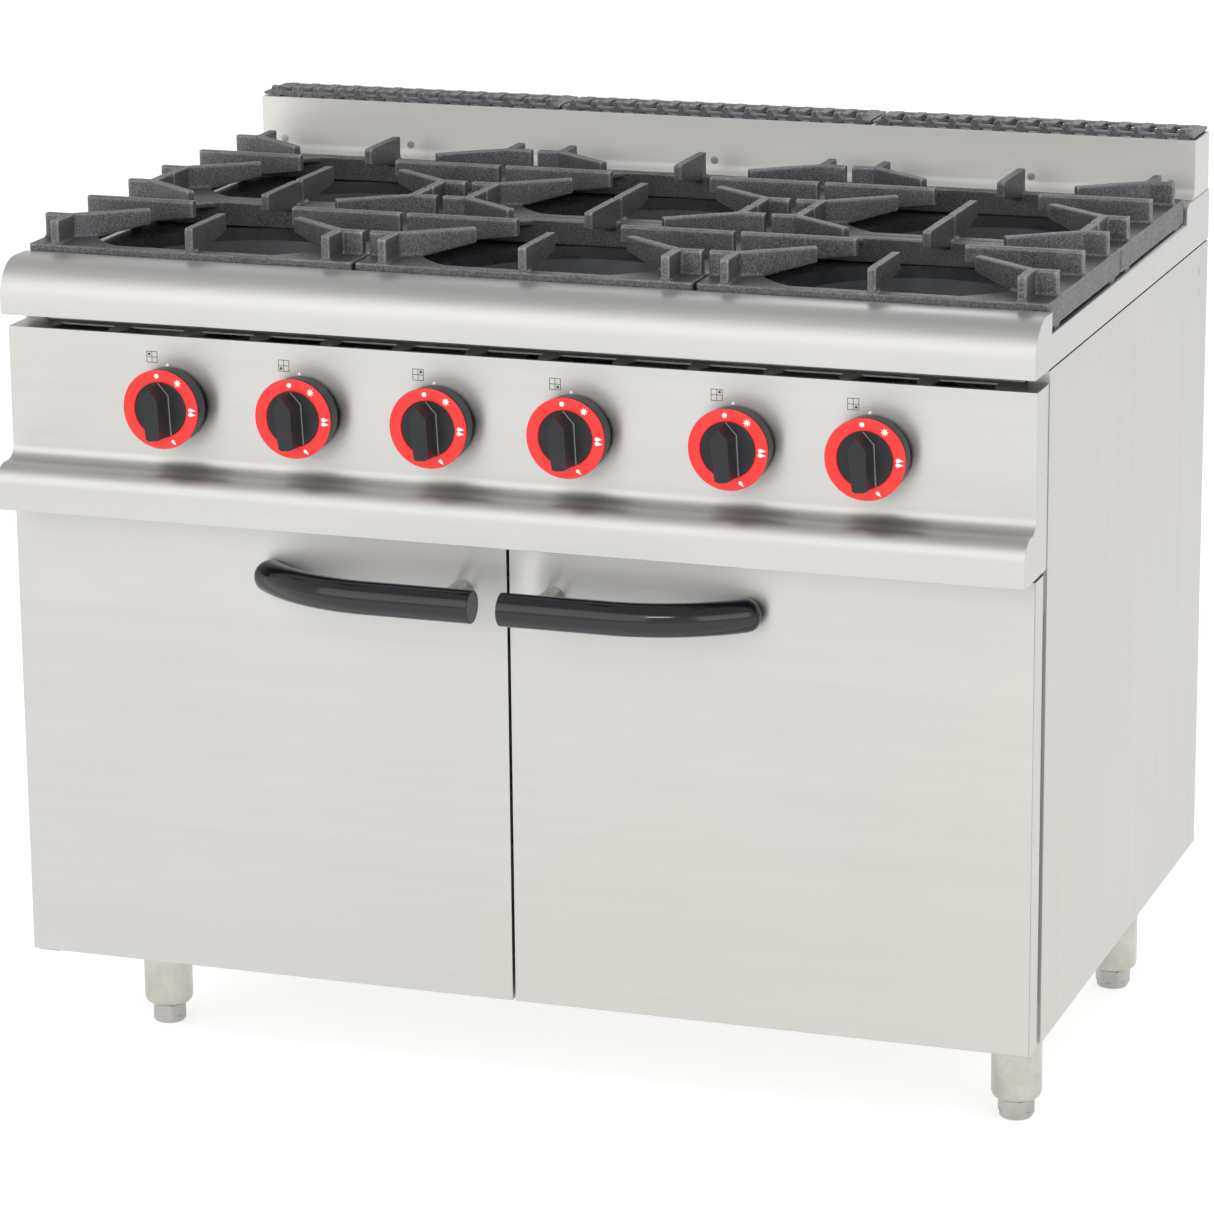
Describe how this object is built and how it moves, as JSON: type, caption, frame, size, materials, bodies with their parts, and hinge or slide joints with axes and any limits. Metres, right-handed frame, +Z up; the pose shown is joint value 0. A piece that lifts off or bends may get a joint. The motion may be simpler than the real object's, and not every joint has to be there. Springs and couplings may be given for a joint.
{
  "type": "commercial gas range",
  "caption": "Free-standing restaurant gas range: open burners under cast grates, control panel with dial knobs, cabinet with two side-hinged doors, rear flue guard.",
  "frame": {"origin": "on the floor, below the centre of the range's bounding box", "axes": "+X to the right of a person facing the doors, +Y to the back, +Z up"},
  "size_m": [1.05, 0.818, 0.926],
  "materials": {
    "stainless_front": "horizontal brushed stainless steel",
    "stainless_side": "vertical brushed stainless steel",
    "galvanised": "galvanised sheet",
    "cast_iron": "cast iron with a fine grain",
    "enamel": "black vitreous enamel",
    "handle_plastic": "glossy black moulded plastic",
    "knob_plastic": "satin black moulded plastic",
    "dial_red": "satin red ring with white marks",
    "brass": "machined brass",
    "pipe_steel": "grey steel pipe",
    "aluminium_tube": "bare aluminium tube",
    "foot_nickel": "brushed nickel-plated tube",
    "zinc": "zinc-plated steel"
  },
  "bodies": {
    "range": {"left_side_panel": "stainless_side", "right_side_panel": "stainless_side", "back_panel": "galvanised", "cabinet_floor": "stainless_side", "base_frame": "galvanised", "heat_shield": "galvanised", "hob_top": "stainless_front", "control_panel": "stainless_front", "back_guard": "stainless_front", "flue_duct": "galvanised", "drip_pans": "enamel", "drip_bowls": "enamel", "gas_injectors": "brass", "valve_bodies": "brass", "gas_manifold": "pipe_steel", "gas_feed_pipes": "aluminium_tube", "burner_castings": "cast_iron", "burner_caps": "cast_iron", "foot_tubes": "foot_nickel", "hinge_brackets": "zinc", "fasteners": "zinc"},
    "door_left": {"door_shell_left": "stainless_front", "door_liner_left": "stainless_front", "door_handle_left": "handle_plastic", "handle_post_left": "foot_nickel"},
    "door_right": {"door_shell_right": "stainless_front", "door_liner_right": "stainless_front", "door_handle_right": "handle_plastic", "handle_post_right": "foot_nickel"},
    "tap_1": {"valve_spindle_1": "zinc"},
    "knob_1": {"knob_grip_1": "knob_plastic", "knob_dial_1": "dial_red"},
    "tap_2": {"valve_spindle_2": "zinc"},
    "knob_2": {"knob_grip_2": "knob_plastic", "knob_dial_2": "dial_red"},
    "tap_3": {"valve_spindle_3": "zinc"},
    "knob_3": {"knob_grip_3": "knob_plastic", "knob_dial_3": "dial_red"},
    "tap_4": {"valve_spindle_4": "zinc"},
    "knob_4": {"knob_grip_4": "knob_plastic", "knob_dial_4": "dial_red"},
    "tap_5": {"valve_spindle_5": "zinc"},
    "knob_5": {"knob_grip_5": "knob_plastic", "knob_dial_5": "dial_red"},
    "tap_6": {"valve_spindle_6": "zinc"},
    "knob_6": {"knob_grip_6": "knob_plastic", "knob_dial_6": "dial_red"},
    "grate_left_front": {"grate_left_front": "cast_iron"},
    "grate_left_rear": {"grate_left_rear": "cast_iron"},
    "grate_centre_front": {"grate_centre_front": "cast_iron"},
    "grate_centre_rear": {"grate_centre_rear": "cast_iron"},
    "grate_right_front": {"grate_right_front": "cast_iron"},
    "grate_right_rear": {"grate_right_rear": "cast_iron"},
    "flue_grille_left": {"flue_grille_left": "cast_iron"},
    "flue_grille_centre": {"flue_grille_centre": "cast_iron"},
    "flue_grille_right": {"flue_grille_right": "cast_iron"},
    "foot_front_left": {"foot_adjuster_front_left": "zinc"},
    "foot_front_right": {"foot_adjuster_front_right": "zinc"},
    "foot_rear_left": {"foot_adjuster_rear_left": "zinc"},
    "foot_rear_right": {"foot_adjuster_rear_right": "zinc"}
  },
  "joints": [
    {"name": "door_left_swing", "type": "hinge", "parent": "range", "child": "door_left", "pos_m": [-0.511, -0.317, 0.37], "axis": [0, 0, -1], "range_deg": [0, 110]},
    {"name": "door_right_swing", "type": "hinge", "parent": "range", "child": "door_right", "pos_m": [0.511, -0.317, 0.37], "axis": [0, 0, 1], "range_deg": [0, 110]},
    {"name": "knob_1_turn", "type": "hinge", "parent": "range", "child": "tap_1", "pos_m": [-0.35, -0.333, 0.718], "axis": [0, -1, 0], "range_deg": [0, 150]},
    {"name": "knob_1_push", "type": "slide", "parent": "tap_1", "child": "knob_1", "axis": [0, 1, 0], "range_m": [0, 0.004], "stiffness_N_per_m": 800},
    {"name": "knob_2_turn", "type": "hinge", "parent": "range", "child": "tap_2", "pos_m": [-0.21, -0.333, 0.718], "axis": [0, -1, 0], "range_deg": [0, 150]},
    {"name": "knob_2_push", "type": "slide", "parent": "tap_2", "child": "knob_2", "axis": [0, 1, 0], "range_m": [0, 0.004], "stiffness_N_per_m": 800},
    {"name": "knob_3_turn", "type": "hinge", "parent": "range", "child": "tap_3", "pos_m": [-0.07, -0.333, 0.718], "axis": [0, -1, 0], "range_deg": [0, 150]},
    {"name": "knob_3_push", "type": "slide", "parent": "tap_3", "child": "knob_3", "axis": [0, 1, 0], "range_m": [0, 0.004], "stiffness_N_per_m": 800},
    {"name": "knob_4_turn", "type": "hinge", "parent": "range", "child": "tap_4", "pos_m": [0.07, -0.333, 0.718], "axis": [0, -1, 0], "range_deg": [0, 150]},
    {"name": "knob_4_push", "type": "slide", "parent": "tap_4", "child": "knob_4", "axis": [0, 1, 0], "range_m": [0, 0.004], "stiffness_N_per_m": 800},
    {"name": "knob_5_turn", "type": "hinge", "parent": "range", "child": "tap_5", "pos_m": [0.232, -0.333, 0.718], "axis": [0, -1, 0], "range_deg": [0, 150]},
    {"name": "knob_5_push", "type": "slide", "parent": "tap_5", "child": "knob_5", "axis": [0, 1, 0], "range_m": [0, 0.004], "stiffness_N_per_m": 800},
    {"name": "knob_6_turn", "type": "hinge", "parent": "range", "child": "tap_6", "pos_m": [0.366, -0.333, 0.718], "axis": [0, -1, 0], "range_deg": [0, 150]},
    {"name": "knob_6_push", "type": "slide", "parent": "tap_6", "child": "knob_6", "axis": [0, 1, 0], "range_m": [0, 0.004], "stiffness_N_per_m": 800},
    {"name": "grate_left_front_lift", "type": "slide", "parent": "range", "child": "grate_left_front", "axis": [0, 0, 1], "range_m": [0, 0.08]},
    {"name": "grate_left_rear_lift", "type": "slide", "parent": "range", "child": "grate_left_rear", "axis": [0, 0, 1], "range_m": [0, 0.08]},
    {"name": "grate_centre_front_lift", "type": "slide", "parent": "range", "child": "grate_centre_front", "axis": [0, 0, 1], "range_m": [0, 0.08]},
    {"name": "grate_centre_rear_lift", "type": "slide", "parent": "range", "child": "grate_centre_rear", "axis": [0, 0, 1], "range_m": [0, 0.08]},
    {"name": "grate_right_front_lift", "type": "slide", "parent": "range", "child": "grate_right_front", "axis": [0, 0, 1], "range_m": [0, 0.08]},
    {"name": "grate_right_rear_lift", "type": "slide", "parent": "range", "child": "grate_right_rear", "axis": [0, 0, 1], "range_m": [0, 0.08]},
    {"name": "flue_grille_left_lift", "type": "slide", "parent": "range", "child": "flue_grille_left", "axis": [0, 0, 1], "range_m": [0, 0.05]},
    {"name": "flue_grille_centre_lift", "type": "slide", "parent": "range", "child": "flue_grille_centre", "axis": [0, 0, 1], "range_m": [0, 0.05]},
    {"name": "flue_grille_right_lift", "type": "slide", "parent": "range", "child": "flue_grille_right", "axis": [0, 0, 1], "range_m": [0, 0.05]},
    {"name": "foot_front_left_extend", "type": "slide", "parent": "range", "child": "foot_front_left", "axis": [0, 0, -1], "range_m": [0, 0.015]},
    {"name": "foot_front_right_extend", "type": "slide", "parent": "range", "child": "foot_front_right", "axis": [0, 0, -1], "range_m": [0, 0.015]},
    {"name": "foot_rear_left_extend", "type": "slide", "parent": "range", "child": "foot_rear_left", "axis": [0, 0, -1], "range_m": [0, 0.015]},
    {"name": "foot_rear_right_extend", "type": "slide", "parent": "range", "child": "foot_rear_right", "axis": [0, 0, -1], "range_m": [0, 0.015]}
  ]
}
